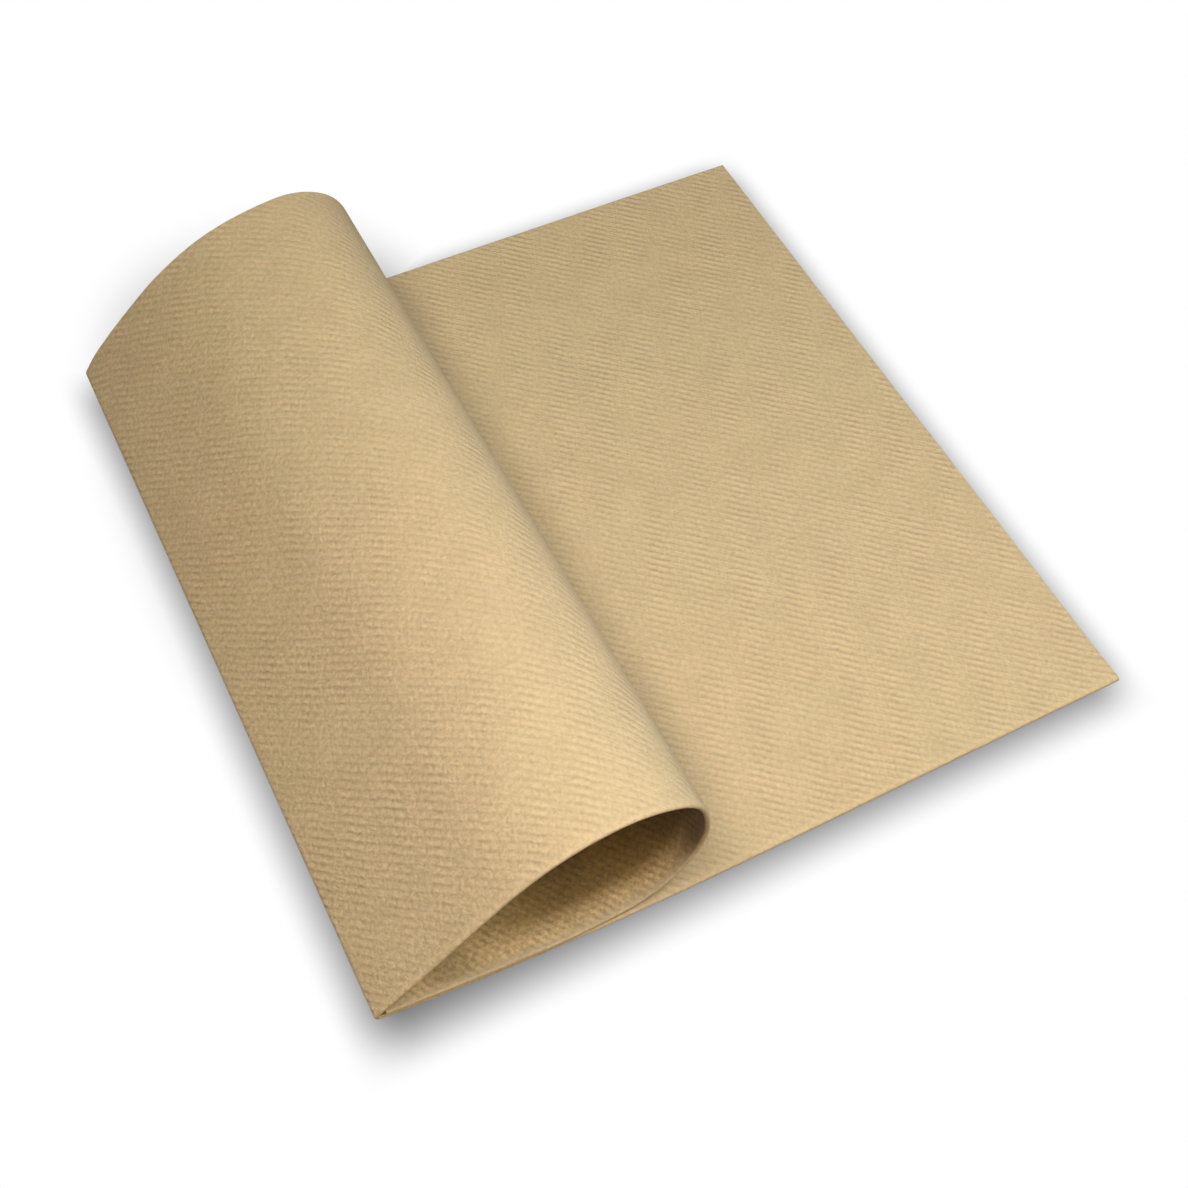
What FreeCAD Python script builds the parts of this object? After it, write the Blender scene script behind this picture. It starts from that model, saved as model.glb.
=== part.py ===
import FreeCAD, Part
import math
import os
import Sketcher
from FreeCAD import Placement, Rotation, Vector

# A paper napkin: one square sheet, folded in half and in half again.
# The first fold is the closed front edge (-Y), so everywhere the paper is a pair of layers
# joined along the front. The second fold is the crease at the left (-X). The lower pair lies
# flat as the base; the upper pair rises from the crease, rolls over in a loop that is open at
# the front and the rear, and comes back along the base to end inside the crease.
# Origin: the centre of the folded square on the table, +X to the right, +Y to the rear.

# Driving dimensions, in millimetres and degrees.
DIMENSIONS = [
    ("folded_side", 200.0, "side of the folded square, half the side of the open sheet"),
    ("layer", 0.45, "thickness of one embossed layer"),
    ("layer_gap", 0.3, "air between the two layers of a pair"),
    ("rest_gap", 0.3, "air between the base and the pair that is tucked over it"),
    ("crease_bend", 0.7, "inner radius of the crease"),
    ("curl_run", 95.0, "how far from the crease the base starts to curl up"),
    ("crease_lift", 5.0, "height that the curl gives the crease"),
    ("tuck", 2.5, "distance from the crease to the tucked edge"),
    ("rise_angle", 45.6, "slope of the straight back of the loop"),
    ("crown_angle", 5.7, "slope at which the back of the loop meets its nose"),
    ("front_rise_length", 39.0, "straight run above the crease, at the front"),
    ("front_nose_radius", 26.3, "radius of the nose, at the front"),
    ("front_height", 49.5, "top of the loop, at the front"),
    ("rear_rise_length", 26.0, "the same at the rear, where the loop is flatter"),
    ("rear_nose_radius", 19.3, "radius of the nose, at the rear"),
    ("rear_height", 43.8, "top of the loop, at the rear"),
]

NODE = "folded_napkin"

# The back and the nose of the loop are cones, laid out in this many equal strips.
BACK_STRIPS = 3
NOSE_STRIPS = 6

# Points of a sketch: the ends and the centre of an element, the sketch's origin and its X axis.
FIRST, LAST, CENTRE = 1, 2, 3
ORIGIN = (-1, 1)
X_AXIS = -1

doc = FreeCAD.newDocument("paper_napkin")
sheet = doc.addObject("Spreadsheet::Sheet", "sizes")
for row, (alias, value, note) in enumerate(DIMENSIONS, start=1):
    sheet.set("A%d" % row, alias)
    sheet.set("B%d" % row, str(value))
    sheet.setAlias("B%d" % row, alias)
    sheet.set("C%d" % row, note)
doc.recompute()
size = {alias: float(sheet.get(alias)) for alias, value, note in DIMENSIONS}

# The two layers of a pair with the air between them.
PAIR = "(2 * sizes.layer + sizes.layer_gap)"
pair = 2 * size["layer"] + size["layer_gap"]
# The large arc that lifts the crease.
CURL = "(sizes.curl_run ^ 2 + sizes.crease_lift ^ 2) / (2 * sizes.crease_lift)"


def bind(sketch, name, constraint, expression):
    """Adds a named dimension to the sketch and ties it to the sheet."""
    index = sketch.addConstraint(constraint)
    sketch.renameConstraint(index, name)
    sketch.setExpression("Constraints." + name, expression)


class Section:
    """The path of the outer face at one end of the napkin, and its offsets into the paper.

    The path starts at the right end of the base, runs left under it, turns clockwise round
    the crease, over the loop and back to the left on top of the base. A heading is an angle
    of travel, so a point of a clockwise arc lies at centre + radius * (-sin, cos) of it.
    """

    def __init__(self, end):
        self.end = end
        half = size["folded_side"] / 2
        run = size["curl_run"]
        lift = size["crease_lift"]
        self.rise = math.radians(size["rise_angle"])
        self.crown = math.radians(size["crown_angle"])
        self.rise_length = size[end + "_rise_length"]
        self.nose_radius = size[end + "_nose_radius"]
        self.right = half
        self.curl_start = run - half
        self.free_edge = size["tuck"] - half
        # The base curls up along one large arc.
        self.curl_radius = (run ** 2 + lift ** 2) / (2 * lift)
        self.curl_centre = Vector(self.curl_start, self.curl_radius, 0)
        # The crease is a tight bend inside the end of that arc.
        self.crease_radius = size["crease_bend"] + pair
        offset = self.curl_radius - self.crease_radius
        crease_x = self.crease_radius - half
        crease_z = self.curl_radius - math.sqrt(offset ** 2 - (crease_x - self.curl_start) ** 2)
        self.crease_centre = Vector(crease_x, crease_z, 0)
        self.curl_end = math.pi - math.asin((self.curl_start - crease_x) / offset)
        # The back of the loop and its nose reach the given height.
        self.rise_foot = self.on_arc(self.crease_centre, self.crease_radius, self.rise)
        self.rise_top = self.rise_foot + self.travel(self.rise) * self.rise_length
        nose_z = size[end + "_height"] - self.nose_radius
        self.back_radius = (nose_z - self.rise_top.y + self.nose_radius * math.cos(self.crown)) \
            / (math.cos(self.crown) - math.cos(self.rise))
        self.back_centre = self.rise_top - self.on_arc(Vector(), self.back_radius, self.rise)
        self.nose_centre = self.on_arc(self.back_centre, self.back_radius - self.nose_radius, self.crown)
        # The pair that comes back runs parallel to the curl, one gap above the base.
        self.return_radius = self.curl_radius - pair - size["rest_gap"]
        # The last bend leaves the nose straight down and meets the return run smoothly.
        tip = self.nose_centre + Vector(self.nose_radius, 0, 0) - self.curl_centre
        self.heel_radius = (self.return_radius ** 2 - tip.dot(tip)) / (2 * (self.return_radius - tip.x))
        self.heel_centre = self.nose_centre + Vector(self.nose_radius - self.heel_radius, 0, 0)
        reach = self.heel_centre - self.curl_centre
        self.touch = -2 * math.pi + math.atan2(-reach.x, reach.y)

    @staticmethod
    def travel(heading):
        return Vector(math.cos(heading), math.sin(heading), 0)

    @staticmethod
    def on_arc(centre, radius, heading):
        return centre + Vector(-math.sin(heading), math.cos(heading), 0) * radius

    def arc(self, centre, radius, start, stop):
        """A clockwise arc: a sketch keeps it the other way round, from its stop to its start."""
        circle = Part.Circle(centre, Vector(0, 0, 1), radius)
        return Part.ArcOfCircle(circle, stop + math.pi / 2, start + math.pi / 2)

    def draw_arc(self, sketch, centre, radius, start, stop, strips=1):
        """Draws a clockwise arc as a chain of equal strips and returns their numbers."""
        step = (stop - start) / strips
        chain = sketch.addGeometry([
            self.arc(centre, radius, start + step * strip, start + step * (strip + 1))
            for strip in range(strips)], False)
        for before, after in zip(chain, chain[1:]):
            sketch.addConstraint(Sketcher.Constraint("Coincident", before, FIRST, after, LAST))
            sketch.addConstraint(Sketcher.Constraint("Coincident", before, CENTRE, after, CENTRE))
        return chain

    def draw_face(self, sketch, name, depth, depth_name):
        """Draws the path at one depth into the paper and returns its two end points."""
        base_end = Vector(self.curl_start, depth, 0)
        foot = self.rise_foot + self.on_arc(Vector(), -depth, self.rise)
        top = self.rise_top + self.on_arc(Vector(), -depth, self.rise)
        return_radius = self.return_radius - depth
        free = -math.pi - math.asin((self.curl_start - self.free_edge) / return_radius)
        down = -math.pi / 2
        base = sketch.addGeometry(Part.LineSegment(Vector(self.right, depth, 0), base_end), False)
        curl, = self.draw_arc(sketch, self.curl_centre, self.curl_radius - depth, math.pi, self.curl_end)
        crease, = self.draw_arc(sketch, self.crease_centre, self.crease_radius - depth,
                                self.curl_end, self.rise)
        rise = sketch.addGeometry(Part.LineSegment(foot, top), False)
        back = self.draw_arc(sketch, self.back_centre, self.back_radius - depth,
                             self.rise, self.crown, BACK_STRIPS)
        nose = self.draw_arc(sketch, self.nose_centre, self.nose_radius - depth,
                             self.crown, down, NOSE_STRIPS)
        heel, = self.draw_arc(sketch, self.heel_centre, self.heel_radius - depth, down, self.touch)
        tuck, = self.draw_arc(sketch, self.curl_centre, return_radius, self.touch, free)
        joints = [(base, LAST, curl, LAST), (curl, FIRST, crease, LAST), (crease, FIRST, rise, FIRST),
                  (rise, LAST, back[0], LAST), (back[-1], FIRST, nose[0], LAST),
                  (nose[-1], FIRST, heel, LAST), (heel, FIRST, tuck, LAST)]
        for joint in joints:
            sketch.addConstraint(Sketcher.Constraint("Tangent", *joint))
        sketch.addConstraint(Sketcher.Constraint("Horizontal", base))
        sketch.addConstraint(Sketcher.Constraint("Horizontal", nose[-1], FIRST, nose[-1], CENTRE))
        sketch.addConstraint(Sketcher.Constraint("Coincident", tuck, CENTRE, curl, CENTRE))

        def dimension(suffix, kind, where, value, expression):
            bind(sketch, name + suffix, Sketcher.Constraint(kind, *where, value), expression)

        if depth:
            dimension("_level", "DistanceY", (*ORIGIN, base, FIRST), depth, depth_name)
        else:
            sketch.addConstraint(Sketcher.Constraint("PointOnObject", base, FIRST, X_AXIS))
        dimension("_right", "DistanceX", (*ORIGIN, base, FIRST), self.right, "sizes.folded_side / 2")
        dimension("_flat", "DistanceX", (base, LAST, base, FIRST), self.right - self.curl_start,
                  "sizes.folded_side - sizes.curl_run")
        dimension("_curl", "Radius", (curl,), self.curl_radius - depth, "%s - %s" % (CURL, depth_name))
        dimension("_crease", "Radius", (crease,), self.crease_radius - depth,
                  "sizes.crease_bend + %s - %s" % (PAIR, depth_name))
        dimension("_crease_reach", "DistanceX", (crease, CENTRE, *ORIGIN), -self.crease_centre.x,
                  "sizes.folded_side / 2 - sizes.crease_bend - %s" % PAIR)
        dimension("_rise", "Angle", (rise,), self.rise, "sizes.rise_angle * 1 deg")
        dimension("_rise_length", "Distance", (rise,), self.rise_length,
                  "sizes.%s_rise_length" % self.end)
        for number, strip in enumerate(back):
            dimension("_back%d" % number, "Angle", (strip,), (self.rise - self.crown) / BACK_STRIPS,
                      "(sizes.rise_angle - sizes.crown_angle) / %d * 1 deg" % BACK_STRIPS)
        for number, strip in enumerate(nose[:-1]):
            dimension("_nose%d" % number, "Angle", (strip,), (self.crown - down) / NOSE_STRIPS,
                      "(sizes.crown_angle + 90) / %d * 1 deg" % NOSE_STRIPS)
        dimension("_nose", "Radius", (nose[-1],), self.nose_radius - depth,
                  "sizes.%s_nose_radius - %s" % (self.end, depth_name))
        dimension("_nose_level", "DistanceY", (*ORIGIN, nose[-1], CENTRE), self.nose_centre.y,
                  "sizes.{0}_height - sizes.{0}_nose_radius".format(self.end))
        dimension("_return", "Radius", (tuck,), return_radius,
                  "%s - %s - sizes.rest_gap - %s" % (CURL, PAIR, depth_name))
        dimension("_free_edge", "DistanceX", (tuck, FIRST, *ORIGIN), -self.free_edge,
                  "sizes.folded_side / 2 - sizes.tuck")
        return (base, FIRST), (tuck, FIRST)

    def draw_band(self, sketch, depths):
        """Draws the closed strip between two depths, with its two short ends."""
        (near, near_name), (far, far_name) = depths
        near_ends = self.draw_face(sketch, "near", near, near_name)
        far_ends = self.draw_face(sketch, "far", far, far_name)
        for near_end, far_end in zip(near_ends, far_ends):
            side = Part.LineSegment(sketch.getPoint(*near_end), sketch.getPoint(*far_end))
            index = sketch.addGeometry(side, False)
            sketch.addConstraint(Sketcher.Constraint("Coincident", index, FIRST, *near_end))
            sketch.addConstraint(Sketcher.Constraint("Coincident", index, LAST, *far_end))


def new_sketch(body, name, role, distance, distance_name):
    """A sketch on one of the body's planes, moved along the plane's normal."""
    plane = next(f for f in body.Origin.OriginFeatures if f.Role == role)
    sketch = body.newObject("Sketcher::SketchObject", name)
    sketch.AttachmentSupport = (plane, [""])
    sketch.MapMode = "FlatFace"
    sketch.AttachmentOffset = Placement(Vector(0, 0, distance), Rotation())
    sketch.setExpression("AttachmentOffset.Base.z", distance_name)
    return sketch


def band_sketch(body, name, end, depths, distance, distance_name):
    """The strip between two depths of the front or the rear section."""
    sketch = new_sketch(body, name, "XZ_Plane", distance, distance_name)
    Section(end).draw_band(sketch, depths)
    return sketch


def ruled_loft(body, kind, name, front, rear):
    loft = body.newObject(kind, name)
    loft.Profile = front
    loft.Sections = [rear]
    loft.Ruled = True
    return loft


half_side = size["folded_side"] / 2
fold_radius = pair / 2
body = doc.addObject("PartDesign::Body", NODE)
body.Label = NODE

# The folded pair as one thick ribbon, from the round of the front fold to the rear edge.
whole = [(0.0, "0"), (pair, PAIR)]
front = band_sketch(body, "front_section", "front", whole, half_side - fold_radius,
                    "sizes.folded_side / 2 - %s / 2" % PAIR)
rear = band_sketch(body, "rear_section", "rear", whole, -half_side, "-sizes.folded_side / 2")
ribbon = ruled_loft(body, "PartDesign::AdditiveLoft", "ribbon", front, rear)
doc.recompute()

# The closed front fold: half a disc that runs along the middle of the pair.
spine = new_sketch(body, "fold_path", "XZ_Plane", half_side - fold_radius,
                   "sizes.folded_side / 2 - %s / 2" % PAIR)
Section("front").draw_face(spine, "middle", fold_radius, "%s / 2" % PAIR)
profile = new_sketch(body, "fold_profile", "YZ_Plane", half_side, "sizes.folded_side / 2")
middle = Vector(fold_radius - half_side, fold_radius, 0)
top, bottom = middle + Vector(0, fold_radius, 0), middle - Vector(0, fold_radius, 0)
circle = Part.Circle(middle, Vector(0, 0, 1), fold_radius)
round_side, flat_side = profile.addGeometry([
    Part.ArcOfCircle(circle, math.pi / 2, 3 * math.pi / 2), Part.LineSegment(bottom, top)], False)
profile.addConstraint(Sketcher.Constraint("Coincident", round_side, LAST, flat_side, FIRST))
profile.addConstraint(Sketcher.Constraint("Coincident", flat_side, LAST, round_side, FIRST))
profile.addConstraint(Sketcher.Constraint("Vertical", flat_side))
profile.addConstraint(Sketcher.Constraint("PointOnObject", round_side, CENTRE, flat_side))
profile.addConstraint(Sketcher.Constraint("PointOnObject", flat_side, FIRST, X_AXIS))
bind(profile, "radius", Sketcher.Constraint("Radius", round_side, fold_radius), "%s / 2" % PAIR)
reach = Sketcher.Constraint("DistanceX", round_side, CENTRE, *ORIGIN, half_side - fold_radius)
bind(profile, "reach", reach, "sizes.folded_side / 2 - %s / 2" % PAIR)
fold = body.newObject("PartDesign::AdditivePipe", "front_fold")
fold.Profile = profile
fold.Spine = (spine, [""])
doc.recompute()

# The air between the two layers: open at the rear and at both ends, closed by the front fold.
between = [(size["layer"], "sizes.layer"),
           (size["layer"] + size["layer_gap"], "(sizes.layer + sizes.layer_gap)")]
front_air = band_sketch(body, "front_air", "front", between, half_side - size["layer"],
                        "sizes.folded_side / 2 - sizes.layer")
rear_air = band_sketch(body, "rear_air", "rear", between, -half_side, "-sizes.folded_side / 2")
air = ruled_loft(body, "PartDesign::SubtractiveLoft", "layer_air", front_air, rear_air)
body.Tip = air
doc.recompute()

for item in doc.Objects:
    if "Invalid" in item.State or "Error" in item.State:
        raise RuntimeError("%s failed: %s" % (item.Name, item.State))
shape = body.Shape
if shape.isNull() or not shape.isValid() or len(shape.Solids) != 1:
    raise RuntimeError("the napkin isn't one valid solid")

os.makedirs("parts", exist_ok=True)
shape.exportStep("parts/%s.step" % NODE)
box = shape.BoundBox
print("%s: %.1f cm3, %.1f x %.1f x %.1f mm" % (
    NODE, shape.Volume / 1000, box.XLength, box.YLength, box.ZLength))
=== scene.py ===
import bmesh
import bpy
import math
from mathutils import Matrix, Vector, noise


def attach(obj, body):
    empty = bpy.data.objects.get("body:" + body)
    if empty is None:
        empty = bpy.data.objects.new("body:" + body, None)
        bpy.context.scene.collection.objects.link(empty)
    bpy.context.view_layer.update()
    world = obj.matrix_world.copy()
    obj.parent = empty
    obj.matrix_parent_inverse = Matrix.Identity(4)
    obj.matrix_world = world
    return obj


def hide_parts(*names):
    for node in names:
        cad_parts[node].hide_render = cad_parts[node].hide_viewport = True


# A paper napkin: one square of embossed tissue, folded in half and in half again.
# The sheet is laid out flat, folded along its front fold and its crease into the place that
# the frame gives it, and then gets the thickness of the tissue. Lengths are in metres.

MM = 0.001
SIDE = 200 * MM
LAYER = 0.45 * MM
GAP = 0.3 * MM
PAIR = 2 * LAYER + GAP
CREASE_BEND = 0.7 * MM
CURL_RUN = 95 * MM
CURL_X = CURL_RUN - SIDE / 2
TUCK = 2.5 * MM
RISE = math.radians(45.6)
CROWN = math.radians(5.7)

# The two ends of the loop, as the frame has them, but for the height of the crease.
FRONT = {"lift": 7 * MM, "rise_length": 39.2 * MM, "nose_radius": 26.3 * MM, "height": 49.5 * MM}
REAR = {"lift": 3 * MM, "rise_length": 26.3 * MM, "nose_radius": 19.3 * MM, "height": 43.8 * MM}

# The front fold: its radius where it is pressed, how much wider it stands where it is free,
# and how far back from it the two layers come together.
TIGHT_FOLD = (LAYER + GAP) / 2
OPEN_FOLD = 0.22 * MM
OPEN_REACH = 7 * MM

# How far the front fold stands back: at the crease end of the base, all along the loop, and
# as much again at the top of the loop.
BASE_SETBACK = 2 * MM
LOOP_SETBACK = 2 * MM
TOP_SETBACK = 1.3 * MM

# What handling has done: lift off the table, swell of the loop, lean of its top to the right,
# and the rounded rear end of the crease.
TABLE_LIFT = 0.45 * MM
SWELL = 0.7 * MM
FRONT_LEAN = 2.1 * MM
REAR_LEAN = 1.0 * MM
ROUNDED_END = 1.5 * MM
ROUNDED_REACH = 7 * MM

# The rows of the sheet: the last one along a cut edge, and those round the front fold.
EDGE_ROW = 0.2 * MM
FOLD_SPAN = 1.05 * MM
FOLD_ROWS = 6
FLAT_ROWS = 70


class Walk:
    """A path walked in the XZ plane, from the right edge of the base to the tucked edge.

    It turns only clockwise, and the paper lies on the right of it. A station is a place, a
    heading and the length walked.
    """

    def __init__(self, x, z, heading):
        self.place = Vector((x, z))
        self.heading = heading
        self.length = 0
        self.stations = [(self.place.copy(), heading, 0)]

    @staticmethod
    def outwards(heading):
        return Vector((-math.sin(heading), math.cos(heading)))

    def straight(self, length, steps):
        travel = Vector((math.cos(self.heading), math.sin(self.heading)))
        start = self.place.copy()
        for step in range(1, steps + 1):
            done = length * step / steps
            self.place = start + travel * done
            self.stations.append((self.place.copy(), self.heading, self.length + done))
        self.length += length

    def bend(self, radius, heading, steps):
        centre = self.place - self.outwards(self.heading) * radius
        turn = (self.heading - heading) / steps
        for step in range(steps):
            self.heading -= turn
            self.length += radius * turn
            self.place = centre + self.outwards(self.heading) * radius
            self.stations.append((self.place.copy(), self.heading, self.length))


def walk_section(end):
    """Stations along the outermost face of the napkin at one end of it."""
    curl_radius = (CURL_RUN ** 2 + end["lift"] ** 2) / (2 * end["lift"])
    crease_radius = CREASE_BEND + PAIR
    curl_turn = math.asin((CURL_RUN - crease_radius) / (curl_radius - crease_radius))
    walk = Walk(SIDE / 2, 0, math.pi)
    walk.straight(EDGE_ROW, steps=1)
    walk.straight(SIDE / 2 - CURL_X - EDGE_ROW, steps=43)
    walk.bend(curl_radius, math.pi - curl_turn, steps=36)
    walk.bend(crease_radius, RISE, steps=12)
    walk.straight(end["rise_length"], steps=15)
    # The back bends from the rise to the crown, and the nose from there straight down.
    nose_z = end["height"] - end["nose_radius"]
    below_crown = nose_z - walk.place.y + end["nose_radius"] * math.cos(CROWN)
    walk.bend(below_crown / (math.cos(CROWN) - math.cos(RISE)), CROWN, steps=14)
    walk.bend(end["nose_radius"], -math.pi / 2, steps=30)
    # The heel rolls from the nose onto the pair that lies on the base.
    rest_radius = curl_radius - PAIR - GAP
    reach = walk.place - Vector((CURL_X, curl_radius))
    heel_radius = (rest_radius ** 2 - reach.dot(reach)) / (2 * (rest_radius - reach.x))
    heel_centre = reach - Vector((heel_radius, 0))
    touch = math.atan2(-heel_centre.x, heel_centre.y) - 2 * math.pi
    walk.bend(heel_radius, touch, steps=30)
    tucked = -math.pi - math.asin((CURL_RUN - TUCK) / rest_radius)
    walk.bend(rest_radius, tucked + EDGE_ROW / rest_radius, steps=21)
    walk.bend(rest_radius, tucked, steps=1)
    return walk.stations


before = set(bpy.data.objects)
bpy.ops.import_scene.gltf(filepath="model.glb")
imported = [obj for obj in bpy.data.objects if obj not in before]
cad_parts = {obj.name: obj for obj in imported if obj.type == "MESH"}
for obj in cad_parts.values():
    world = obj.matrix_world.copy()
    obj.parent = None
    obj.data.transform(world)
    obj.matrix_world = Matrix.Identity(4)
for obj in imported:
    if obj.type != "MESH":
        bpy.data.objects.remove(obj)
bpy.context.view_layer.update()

front_stations = walk_section(FRONT)
rear_stations = walk_section(REAR)


def smooth(value, start, stop):
    """0 before start, 1 after stop, with an easy slope between them."""
    part = min(max((value - start) / (stop - start), 0), 1)
    return part * part * (3 - 2 * part)


def hump(value, start, full, fading, stop):
    """Rises from start to full, and falls again from fading to stop."""
    return smooth(value, start, full) * (1 - smooth(value, fading, stop))


def front_setback(length, x):
    """How far the front fold stands back from the front of the base."""
    base = BASE_SETBACK * min(max((CURL_X - x) / CURL_RUN, 0), 1) ** 2
    past_crease = length - SIDE
    if past_crease < 0:
        return base
    loop = LOOP_SETBACK + TOP_SETBACK * smooth(past_crease, 0, 80 * MM)
    tucked = smooth(past_crease, 105 * MM, 165 * MM)
    return loop * (1 - tucked) + base * tucked


def fold_fullness(length, x):
    """Where the front fold stands a little open: not where one pair presses on the other."""
    past_crease = length - SIDE
    if past_crease < 0:
        return smooth(x, -35 * MM, -10 * MM)
    return 0.5 * hump(past_crease, 2 * MM, 14 * MM, 90 * MM, 112 * MM)


def fold_place(station, across):
    """Where a point of the flat sheet lies in the folded napkin.

    The station counts rows from the right edge. Across is the distance from the front fold,
    positive on the outer layer and negative on the inner one.
    """
    front_place, heading, front_length = front_stations[station]
    rear_place, _, rear_length = rear_stations[station]
    away = abs(across)
    fullness = OPEN_FOLD * fold_fullness(front_length, front_place.x)
    radius = TIGHT_FOLD + fullness
    turn = math.pi * radius / 2
    if away <= turn:
        depth = LAYER / 2 + radius * (1 - math.sin(across / radius))
        back = LAYER / 2 + radius * (1 - math.cos(across / radius))
    else:
        run = away - turn
        half_gap = TIGHT_FOLD + fullness * (1 - smooth(run, 0, OPEN_REACH))
        depth = LAYER / 2 + (0 if across > 0 else 2 * half_gap)
        back = LAYER / 2 + radius + run * (SIDE - LAYER / 2 - radius) / (SIDE - turn)
    share = min(away / SIDE, 1)
    inwards = -Walk.outwards(heading)
    spot = front_place.lerp(rear_place, share) + inwards * depth
    y = -SIDE / 2 + back + front_setback(front_length, front_place.x) * (1 - share)
    along = front_length + (rear_length - front_length) * share
    return Vector((spot.x, y, spot.y)), Vector((inwards.x, 0, inwards.y)), along


def handled(place, inwards, length):
    """The slight unevenness of a sheet that has been folded and handled.

    The base lifts a little off the table here and there, with all that rests on it, and the
    loop swells, sinks and leans.
    """
    past_crease = length - SIDE
    flat = Vector((place.x, place.y, 0))
    lift = TABLE_LIFT * max(0, 0.25 + noise.noise(flat * 16 + Vector((3.1, 7.7, 1.3))))
    swell = noise.noise(place * 22 + Vector((9.4, 2.2, 5.8))) + 0.35 * noise.noise(place * 60)
    swell *= SWELL * hump(past_crease, 4 * MM, 24 * MM, 82 * MM, 104 * MM)
    lean = FRONT_LEAN + (REAR_LEAN - FRONT_LEAN) * smooth(place.y, -70 * MM, SIDE / 2)
    lean *= hump(past_crease, 20 * MM, 60 * MM, 88 * MM, 110 * MM)
    rounded = math.exp(-(past_crease / ROUNDED_REACH) ** 2) * smooth(place.y, 60 * MM, SIDE / 2)
    return place + Vector((lean, -ROUNDED_END * rounded, lift)) - inwards * swell


def sheet_columns():
    """Distances from the front fold, close together where the sheet bends."""
    turn = [FOLD_SPAN * row / FOLD_ROWS for row in range(FOLD_ROWS + 1)]
    ahead = [1.8 * MM, 3 * MM, 5 * MM]
    flat = [ahead[-1] + (SIDE - ahead[-1]) * row / FLAT_ROWS for row in range(1, FLAT_ROWS)]
    away = turn + ahead + flat + [SIDE - EDGE_ROW, SIDE]
    return [-distance for distance in reversed(away[1:])] + away


def make_napkin():
    rows = len(front_stations)
    columns = sheet_columns()
    sheet = bmesh.new()
    bmesh.ops.create_grid(sheet, x_segments=rows - 1, y_segments=len(columns) - 1, size=0.5)
    layout = sheet.loops.layers.uv.new("sheet")
    spots = {}
    for vert in sheet.verts:
        station = round((vert.co.x + 0.5) * (rows - 1))
        across = columns[round((vert.co.y + 0.5) * (len(columns) - 1))]
        place, inwards, along = fold_place(station, across)
        vert.co = handled(place, inwards, front_stations[station][2])
        spots[vert] = (along, across)
    for face in sheet.faces:
        for loop in face.loops:
            loop[layout].uv = spots[loop.vert]
        face.smooth = True
    napkin = link_mesh("napkin_sheet", sheet)
    body = napkin.modifiers.new("tissue", "SOLIDIFY")
    body.thickness = LAYER
    body.offset = 0
    body.use_even_offset = True
    body.material_offset_rim = 1
    return napkin


def link_mesh(name, shape):
    """Makes an object of a bmesh."""
    mesh = bpy.data.meshes.new(name)
    shape.to_mesh(mesh)
    shape.free()
    made = bpy.data.objects.new(name, mesh)
    bpy.context.collection.objects.link(made)
    return made


# Node helpers

FLOAT, VECTOR, COLOUR = "NodeSocketFloat", "NodeSocketVector", "NodeSocketColor"


def fill(tree, socket, source):
    """Joins a socket to another one, or gives it a value."""
    if isinstance(source, bpy.types.NodeSocket):
        tree.links.new(source, socket)
    else:
        socket.default_value = source


def wire(tree, kind, sources, **settings):
    """Adds a node, sets its properties and joins or fills its inputs."""
    node = tree.nodes.new(kind)
    for name, value in settings.items():
        setattr(node, name, value)
    for socket, source in sources.items():
        fill(tree, node.inputs[socket], source)
    return node


def math_node(tree, operation, first, second=0.0, third=0.0):
    sources = {0: first, 1: second, 2: third}
    return wire(tree, "ShaderNodeMath", sources, operation=operation).outputs[0]


def product(tree, first, *others):
    for other in others:
        first = math_node(tree, "MULTIPLY", first, other)
    return first


def faded(tree, value, share):
    """The value where share is 1, and 1 where share is 0."""
    return math_node(tree, "MULTIPLY_ADD", math_node(tree, "SUBTRACT", value, 1.0), share, 1.0)


def shifted(tree, place, shift):
    return wire(tree, "ShaderNodeVectorMath", {0: place, 1: shift}, operation="ADD").outputs[0]


def split(tree, place):
    return wire(tree, "ShaderNodeSeparateXYZ", {0: place}).outputs


def colour_of(tree, red, green, blue):
    return wire(tree, "ShaderNodeCombineColor", {0: red, 1: green, 2: blue}).outputs[0]


def grain(tree, place, scale, detail, rough=0.5, stretch=None):
    """Soft noise; stretch makes it longer one way than the other."""
    if stretch:
        angle, along, across = stretch
        sources = {"Vector": place, "Rotation": (0, 0, angle), "Scale": (along, across, 1)}
        place = wire(tree, "ShaderNodeMapping", sources).outputs[0]
    sources = {"Vector": place, "Scale": scale, "Detail": detail, "Roughness": rough}
    return wire(tree, "ShaderNodeTexNoise", sources).outputs["Fac"]


def ramp(tree, value, low, high, bottom=0.0, top=1.0):
    """An easy slope from bottom at low to top at high."""
    sources = {"Value": value, "From Min": low, "From Max": high, "To Min": bottom, "To Max": top}
    return wire(tree, "ShaderNodeMapRange", sources, interpolation_type="SMOOTHSTEP").outputs[0]


def mix(tree, share, first, second, how="MIX"):
    node = wire(tree, "ShaderNodeMix", {}, data_type="RGBA", blend_type=how)
    for number, source in ((0, share), (6, first), (7, second)):
        fill(tree, node.inputs[number], source)
    return node.outputs[2]


def new_group(name, inputs, outputs):
    tree = bpy.data.node_groups.new(name, "ShaderNodeTree")
    for socket, kind in inputs.items():
        tree.interface.new_socket(socket, in_out="INPUT", socket_type=kind)
    for socket, kind in outputs.items():
        tree.interface.new_socket(socket, in_out="OUTPUT", socket_type=kind)
    given = tree.nodes.new("NodeGroupInput").outputs
    return tree, given, tree.nodes.new("NodeGroupOutput").inputs


def use(tree, group, sources):
    """Places a node group and gives its outputs."""
    return wire(tree, "ShaderNodeGroup", sources, node_tree=group).outputs


def new_material(name):
    material = bpy.data.materials.new(name)
    material.use_nodes = True
    material.node_tree.nodes.clear()
    return material, material.node_tree


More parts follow.
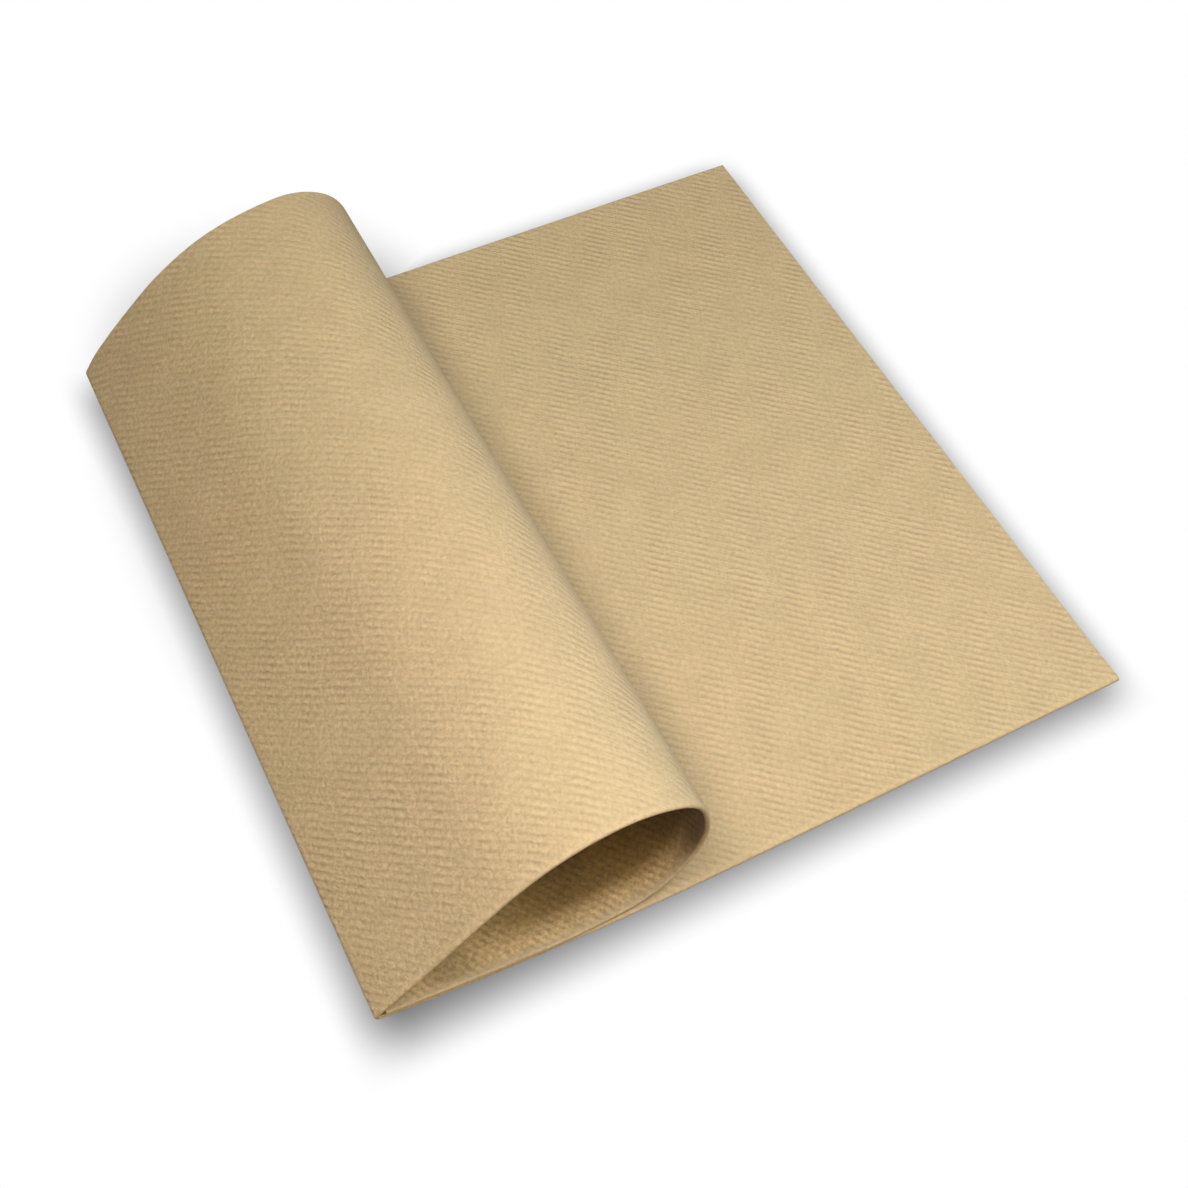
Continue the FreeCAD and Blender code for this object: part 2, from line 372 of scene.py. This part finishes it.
# The tissue. A place on the sheet is the length from the right edge, past the crease at SIDE,
# and the distance from the front fold, negative on the inner layer.

# The ribs of the inner layer run at a slightly different angle.
INNER_TURN = math.radians(14)

# Relief, in millimetres.
RIB_DEPTH = 0.078
TOOTH_DEPTH = 0.45
FIBRE_DEPTH = 0.12

YELLOW_TISSUE = (0.635, 0.486, 0.266, 1)
RED_TISSUE = (0.650, 0.480, 0.268, 1)
SPECK = (0.22, 0.14, 0.07, 1)
WARM_LIGHT = (1, 0.94, 0.8, 1)
KEPT_LIGHT = (0.08, 0.04, 0.015, 1)

# How far off other paper casts painted shade on the outside of the napkin, and on the inside of the
# loop.
OUTER_REACH = 20 * MM
INNER_REACH = 35 * MM


def rib_wave(tree, place, pitch, angle, wander):
    """One train of ribs, -1 to 1; the angle is that of the wave across them."""
    turn = math.radians(angle)
    across = (math.cos(turn) / (pitch * MM), math.sin(turn) / (pitch * MM), 0)
    phase = wire(tree, "ShaderNodeVectorMath", {0: place, 1: across}, operation="DOT_PRODUCT")
    phase = math_node(tree, "ADD", phase.outputs["Value"], wander)
    phase = product(tree, phase, 2 * math.pi)
    crisp = math_node(tree, "SINE", math_node(tree, "MULTIPLY_ADD", phase, 2.0, 0.8))
    return math_node(tree, "ADD", math_node(tree, "SINE", phase), product(tree, crisp, 0.28))


def make_ribs():
    """Embossed ribs. Two trains at slightly different angles beat into short bundles."""
    tree, given, out = new_group("embossed_ribs", {"Sheet": VECTOR}, {"Height": FLOAT, "Pressed": FLOAT})
    place = given["Sheet"]
    wander = product(tree, grain(tree, place, 30, 1), 0.5)
    jitter = product(tree, grain(tree, place, 500, 2), 0.3)
    shift = math_node(tree, "ADD", wander, jitter)
    main = rib_wave(tree, place, 1.85, 51, shift)
    second = product(tree, rib_wave(tree, place, 1.76, 42.4, shift), 0.5)
    cross = product(tree, rib_wave(tree, place, 1.06, -23, jitter), 0.16)
    total = math_node(tree, "ADD", math_node(tree, "ADD", main, second), cross)
    strength = ramp(tree, grain(tree, place, 45, 3, 0.6), 0.32, 0.68, 0.4, 1.0)
    # The front fold has pressed them flat.
    from_fold = math_node(tree, "ABSOLUTE", split(tree, place)["Y"])
    kept = ramp(tree, from_fold, 0.6 * MM, 2.6 * MM, 0.25, 1.0)
    fill(tree, out["Height"], product(tree, total, product(tree, strength, kept)))
    fill(tree, out["Pressed"], ramp(tree, from_fold, 0.6 * MM, 2.6 * MM, 1.0, 0.0))
    return tree


def make_pulp():
    """The pulp: cloudy thickness, short fibres and tooth."""
    names = ("Cloud", "Fibre", "Tooth", "Speck")
    tree, given, out = new_group("pulp", {"Sheet": VECTOR}, dict.fromkeys(names, FLOAT))
    place = given["Sheet"]
    fill(tree, out["Cloud"], grain(tree, place, 95, 4, 0.6))
    one = grain(tree, place, 1100, 1, 0.5, (0.5, 0.3, 1.0))
    other = grain(tree, place, 1100, 1, 0.5, (-0.9, 1.0, 0.3))
    fill(tree, out["Fibre"], math_node(tree, "MAXIMUM", one, other))
    fill(tree, out["Tooth"], grain(tree, place, 850, 4, 0.68))
    sources = {"Vector": place, "Scale": 150.0, "Randomness": 1.0}
    cells = wire(tree, "ShaderNodeTexVoronoi", sources).outputs
    small = ramp(tree, cells["Distance"], 0.03, 0.08, 1.0, 0.0)
    pick = wire(tree, "ShaderNodeSeparateColor", {0: cells["Color"]}).outputs[0]
    fill(tree, out["Speck"], product(tree, small, ramp(tree, pick, 0.80, 0.86)))
    return tree


def make_zones():
    """Masks: the loop, its inner layer, the slope of its back, and what is near the front."""
    names = ("Curled", "Inner", "Slope", "Near")
    tree, given, out = new_group("sheet_zones", {"Sheet": VECTOR}, dict.fromkeys(names, FLOAT))
    place = split(tree, given["Sheet"])
    curled = ramp(tree, place["X"], SIDE + MM, SIDE + 4 * MM)
    inner = ramp(tree, place["Y"], -2.4 * MM, -0.9 * MM, 1.0, 0.0)
    slope = ramp(tree, place["X"], SIDE + 30 * MM, SIDE + 75 * MM, 1.0, 0.0)
    fill(tree, out["Curled"], curled)
    fill(tree, out["Inner"], product(tree, curled, inner))
    fill(tree, out["Slope"], product(tree, curled, slope))
    fill(tree, out["Near"], ramp(tree, place["Y"], -40 * MM, -15 * MM))
    return tree


def turned_inside(tree, place):
    """The place that the ribs are drawn by. It turns at once, along the fold."""
    parts = split(tree, place)
    behind_fold = math_node(tree, "LESS_THAN", parts["Y"], -0.6 * MM)
    past_crease = math_node(tree, "GREATER_THAN", parts["X"], SIDE + 2 * MM)
    angle = product(tree, behind_fold, past_crease, INNER_TURN)
    turn = wire(tree, "ShaderNodeCombineXYZ", {2: angle}).outputs[0]
    return wire(tree, "ShaderNodeMapping", {"Vector": place, "Rotation": turn}).outputs[0]


def make_paper(zones):
    """Unbleached tissue: its colour with some painted light and shade, and its relief in millimetres."""
    tree, given, out = new_group("tissue_paper", {"Sheet": VECTOR, "Rib Share": FLOAT},
                                 {"Colour": COLOUR, "Height": FLOAT})
    place = given["Sheet"]
    zone = use(tree, zones, {"Sheet": place})
    inner, slope = zone["Inner"], zone["Slope"]
    ribs = use(tree, make_ribs(), {"Sheet": turned_inside(tree, place)})
    pulp = use(tree, make_pulp(), {"Sheet": place})

    # The ribs are shallower outside the loop and deeper inside it.
    depth = math_node(tree, "MULTIPLY_ADD", zone["Curled"], -0.3, 1.0)
    depth = math_node(tree, "MULTIPLY_ADD", slope, 0.12, depth)
    depth = math_node(tree, "MULTIPLY_ADD", inner, 0.7, depth)
    ridge = product(tree, ribs["Height"], product(tree, depth, given["Rib Share"]))
    height = product(tree, ridge, RIB_DEPTH)
    height = math_node(tree, "ADD", height, product(tree, pulp["Tooth"], TOOTH_DEPTH))
    height = math_node(tree, "ADD", height, product(tree, pulp["Fibre"], FIBRE_DEPTH))
    fill(tree, out["Height"], height)

    tint = ramp(tree, grain(tree, place, 11, 3, 0.55), 0.3, 0.7)
    colour = mix(tree, tint, YELLOW_TISSUE, RED_TISSUE)
    cloud = ramp(tree, pulp["Cloud"], 0.3, 0.7, 0.965, 1.035)
    rough = math_node(tree, "MULTIPLY_ADD", slope, 0.06, 0.07)
    rough = math_node(tree, "MULTIPLY_ADD", inner, 0.13, rough)
    tooth = ramp(tree, pulp["Tooth"], 0.36, 0.64, -1.0, 1.0)
    tooth = math_node(tree, "MULTIPLY_ADD", tooth, rough, 1.0)
    # Painted shade in the grooves of the ribs, and a little painted light on their tops.
    groove_shade = ramp(tree, ridge, -1.4, 1.2, 0.865, 1.05)
    # Painted light and shade in soft patches, on the inner layer of the loop only.
    patch_light_and_shade = ramp(tree, grain(tree, place, 60, 2), 0.38, 0.62, -0.2, 0.15)
    patch_light_and_shade = math_node(tree, "MULTIPLY_ADD", patch_light_and_shade, inner, 1.0)
    flattened = ramp(tree, ribs["Pressed"], 0.0, 1.0, 1.0, 1.05)
    tone = product(tree, cloud, tooth, product(tree, groove_shade, patch_light_and_shade), flattened)
    colour = mix(tree, 1.0, colour, colour_of(tree, tone, tone, tone), "MULTIPLY")
    fill(tree, out["Colour"], mix(tree, product(tree, pulp["Speck"], 0.3), colour, SPECK))
    return tree


def make_shade(zones):
    """The shade on paper that faces other paper; Sky is how open the place is, 0 to 1."""
    tree, given, out = new_group("paper_shade", {"Sheet": VECTOR, "Colour": COLOUR, "Sky": FLOAT},
                                 {"Colour": COLOUR})
    place = split(tree, given["Sheet"])
    zone = use(tree, zones, {"Sheet": given["Sheet"]})
    inner, near = zone["Inner"], zone["Near"]
    # Painted shade: just inside the loop it is darker further in from the fold.
    deeper = ramp(tree, place["Y"], -9 * MM, -2.5 * MM, 0.37, 1.0)
    deeper = faded(tree, deeper, product(tree, inner, near))
    # Painted shade: the nose is dark right up to the fold.
    wall = ramp(tree, place["Y"], -1.1 * MM, -0.4 * MM, 1.0, 0.0)
    nose = ramp(tree, place["X"], SIDE + 118 * MM, SIDE + 129 * MM, 0.42, 1.0)
    nose = faded(tree, nose, product(tree, zone["Curled"], wall, near))
    # Painted shade where other paper is close by.
    open_sky = ramp(tree, given["Sky"], 0.08, 0.55, 0.25, 1.0)
    dim = product(tree, open_sky, math_node(tree, "MINIMUM", deeper, nose))
    # The painted shade is lifted at the low left end of the opening, which lies in the light.
    lit = ramp(tree, place["X"], SIDE + 155 * MM, SIDE + 188 * MM, 0.0, 0.95)
    darkness = math_node(tree, "SUBTRACT", 1.0, dim)
    dim = math_node(tree, "MULTIPLY_ADD", darkness, product(tree, inner, lit), dim)
    shade = colour_of(tree, dim, math_node(tree, "POWER", dim, 1.15), math_node(tree, "POWER", dim, 1.6))
    colour = mix(tree, 1.0, given["Colour"], shade, "MULTIPLY")
    # The inner layer is painted warmer, as light that has been round the inside is warmer.
    warmer = mix(tree, 1.0, colour, WARM_LIGHT, "MULTIPLY")
    fill(tree, out["Colour"], mix(tree, inner, colour, warmer))
    return tree


def make_tissue(name, zones, paper, shade, rib_share):
    """A material of the sheet; rib_share is how deep the embossing goes."""
    material, tree = new_material(name)
    place = wire(tree, "ShaderNodeUVMap", {}, uv_map="sheet").outputs[0]
    zone = use(tree, zones, {"Sheet": place})
    sheet = use(tree, paper, {"Sheet": place, "Rib Share": rib_share})
    # How open each place is; the shade group paints shade from it.
    reach = math_node(tree, "MULTIPLY_ADD", zone["Inner"], INNER_REACH - OUTER_REACH, OUTER_REACH)
    sky = wire(tree, "ShaderNodeAmbientOcclusion", {"Distance": reach}, samples=6).outputs["AO"]
    shaded = use(tree, shade, {"Sheet": place, "Colour": sheet["Colour"], "Sky": sky})
    # Near the front, little of the light that falls on the paper gets out again.
    bounced = wire(tree, "ShaderNodeLightPath", {}).outputs["Is Diffuse Ray"]
    kept_in = product(tree, bounced, zone["Near"], 0.7)
    colour = mix(tree, kept_in, shaded["Colour"], KEPT_LIGHT)
    relief = {"Height": sheet["Height"], "Strength": 1.0, "Distance": MM}
    normal = wire(tree, "ShaderNodeBump", relief).outputs[0]
    shader = wire(tree, "ShaderNodeBsdfPrincipled", {
        "Base Color": colour, "Roughness": 0.92, "Specular IOR Level": 0.25, "Sheen Weight": 0.15,
        "Sheen Roughness": 0.6, "Normal": normal})
    wire(tree, "ShaderNodeOutputMaterial", {"Surface": shader.outputs[0]})
    return material


zones = make_zones()
paper = make_paper(zones)
shade = make_shade(zones)
napkin = make_napkin()
napkin.data.materials.append(make_tissue("napkin_tissue", zones, paper, shade, 1.0))
napkin.data.materials.append(make_tissue("cut_edge", zones, paper, shade, 0.3))
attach(napkin, "root")
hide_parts("folded_napkin")


# Floor, light and camera

FLOOR_COLOUR = (0.30, 0.22, 0.13, 1)

# The painted soft shadow on the floor: how far the napkin's outline is moved for it, how soft its edges
# are, how dark it is, and the gamma by which it is drawn.
SHADOW_SHIFT = (0.75 * MM, 2.0 * MM, 0)
SHADOW_BLUR = {"X": 8.7 * MM, "Y": 9.5 * MM}
SHADOW_DEPTH = 0.555
GAMMA = 2.2

# The painted shadow reaches a little onto the ground behind the loop too, in an oval about this place.
OVAL_SHIFT = (49 * MM, -38 * MM, 0)
OVAL_HALF = {"X": 49.7 * MM, "Y": 89.4 * MM}
OVAL_POWER = 2.6
OVAL_EDGE = 1.276
OVAL_STRENGTH = 4.4

WARM = (1, 0.85, 0.6)
WORLD_LIGHT = 0.02

CAMERA_AZIMUTH = -32.048
CAMERA_ELEVATION = 58.247
CAMERA_ROLL = math.radians(5.439)
CAMERA_DISTANCE = 395.877 * MM
CAMERA_AIM = Vector((-6.839, -19.886, 0)) * MM
CAMERA_LENS = 47.054


def under_napkin(tree, place, axis):
    """1 over the napkin and 0 beyond its edges, along one axis of the floor."""
    blur = SHADOW_BLUR[axis]
    away = math_node(tree, "ABSOLUTE", place[axis])
    return ramp(tree, away, SIDE / 2 - blur, SIDE / 2 + blur, 1.0, 0.0)


def oval_share(tree, place, axis):
    share = math_node(tree, "ABSOLUTE", math_node(tree, "DIVIDE", place[axis], OVAL_HALF[axis]))
    return math_node(tree, "POWER", share, OVAL_POWER)


def painted_floor_shadow(tree):
    """How deep in the napkin's painted soft shadow a place on the floor is, 0 to 1."""
    spot = wire(tree, "ShaderNodeTexCoord", {}).outputs["Object"]
    moved = shifted(tree, spot, SHADOW_SHIFT)
    place = split(tree, moved)
    under = product(tree, under_napkin(tree, place, "X"), under_napkin(tree, place, "Y"))
    place = split(tree, shifted(tree, moved, OVAL_SHIFT))
    rim = math_node(tree, "ADD", oval_share(tree, place, "X"), oval_share(tree, place, "Y"))
    rim = math_node(tree, "POWER", rim, 1 / OVAL_POWER)
    within = math_node(tree, "MAXIMUM", math_node(tree, "SUBTRACT", OVAL_EDGE, rim), 0.0)
    faint = product(tree, math_node(tree, "POWER", within, 2.0), OVAL_STRENGTH)
    return math_node(tree, "MAXIMUM", under, math_node(tree, "MINIMUM", faint, 1.0))


def make_floor():
    """A white ground. The camera sees the painted soft shadow on it, and the napkin its colour."""
    table = bmesh.new()
    bmesh.ops.create_grid(table, x_segments=1, y_segments=1, size=3)
    floor = link_mesh("floor", table)
    material, tree = new_material("white_table")
    tone = math_node(tree, "MULTIPLY_ADD", painted_floor_shadow(tree), -SHADOW_DEPTH, 1.0)
    tone = math_node(tree, "POWER", tone, GAMMA)
    seen = wire(tree, "ShaderNodeEmission", {"Color": colour_of(tree, tone, tone, tone)}).outputs[0]
    cast = wire(tree, "ShaderNodeBsdfDiffuse", {"Color": FLOOR_COLOUR}).outputs[0]
    share = wire(tree, "ShaderNodeLightPath", {}).outputs["Is Camera Ray"]
    both = wire(tree, "ShaderNodeMixShader", {0: share, 1: cast, 2: seen}).outputs[0]
    wire(tree, "ShaderNodeOutputMaterial", {"Surface": both})
    floor.data.materials.append(material)


def direction(azimuth, elevation):
    """Out from the napkin; azimuth 0 is in front of it and 90 on its right, in degrees."""
    turn, rise = math.radians(azimuth), math.radians(elevation)
    level = math.cos(rise)
    return Vector((math.sin(turn) * level, -math.cos(turn) * level, math.sin(rise)))


def add_lamp(name, place, aim, size, power, colour):
    lamp = bpy.data.lights.new(name, "AREA")
    lamp.size = size
    lamp.energy = power
    lamp.color = colour
    holder = bpy.data.objects.new(name, lamp)
    bpy.context.collection.objects.link(holder)
    holder.location = place
    holder.rotation_euler = (aim - place).to_track_quat("-Z", "Y").to_euler()


def make_lamps():
    centre = Vector((0, 0, 0))
    add_lamp("key", Vector((-250, 40, 700)) * MM, centre, 0.3, 1.98, (1, 1, 0.93))
    add_lamp("right", direction(60, 50) * 0.5, centre, 0.3, 1.08, (0.9, 0.97, 1))
    add_lamp("front", direction(-20, 50) * 0.5, centre, 0.3, 0.73, WARM)
    add_lamp("left_spill", direction(-90, 68) * 0.35, centre, 0.06, 0.062, WARM)
    for name, x, power, colour in (("over_left", -90, 0.13, (0.82, 0.77, 1)),
                                   ("over_right", 60, 0.098, (0.8, 0.9, 1))):
        place = Vector((x, -120, 240)) * MM
        add_lamp(name, place, Vector((x, -119, 0)) * MM, 0.1, power, colour)
    world = bpy.data.worlds.new("studio")
    world.use_nodes = True
    background = world.node_tree.nodes["Background"].inputs
    background["Color"].default_value = (1, 1, 1, 1)
    background["Strength"].default_value = WORLD_LIGHT
    bpy.context.scene.world = world


def make_camera():
    back = direction(CAMERA_AZIMUTH, CAMERA_ELEVATION)
    level = Vector((0, 0, 1)).cross(back).normalized()
    upright = back.cross(level)
    right = level * math.cos(CAMERA_ROLL) + upright * math.sin(CAMERA_ROLL)
    up = upright * math.cos(CAMERA_ROLL) - level * math.sin(CAMERA_ROLL)
    lens = bpy.data.cameras.new("camera")
    lens.sensor_width = 36
    lens.lens = CAMERA_LENS
    lens.clip_start = 0.01
    camera = bpy.data.objects.new("camera", lens)
    bpy.context.collection.objects.link(camera)
    turned = Matrix((right, up, back)).transposed().to_4x4()
    camera.matrix_world = Matrix.Translation(CAMERA_AIM + back * CAMERA_DISTANCE) @ turned
    bpy.context.scene.camera = camera


bpy.context.scene.view_settings.view_transform = "Standard"
make_floor()
make_lamps()
make_camera()
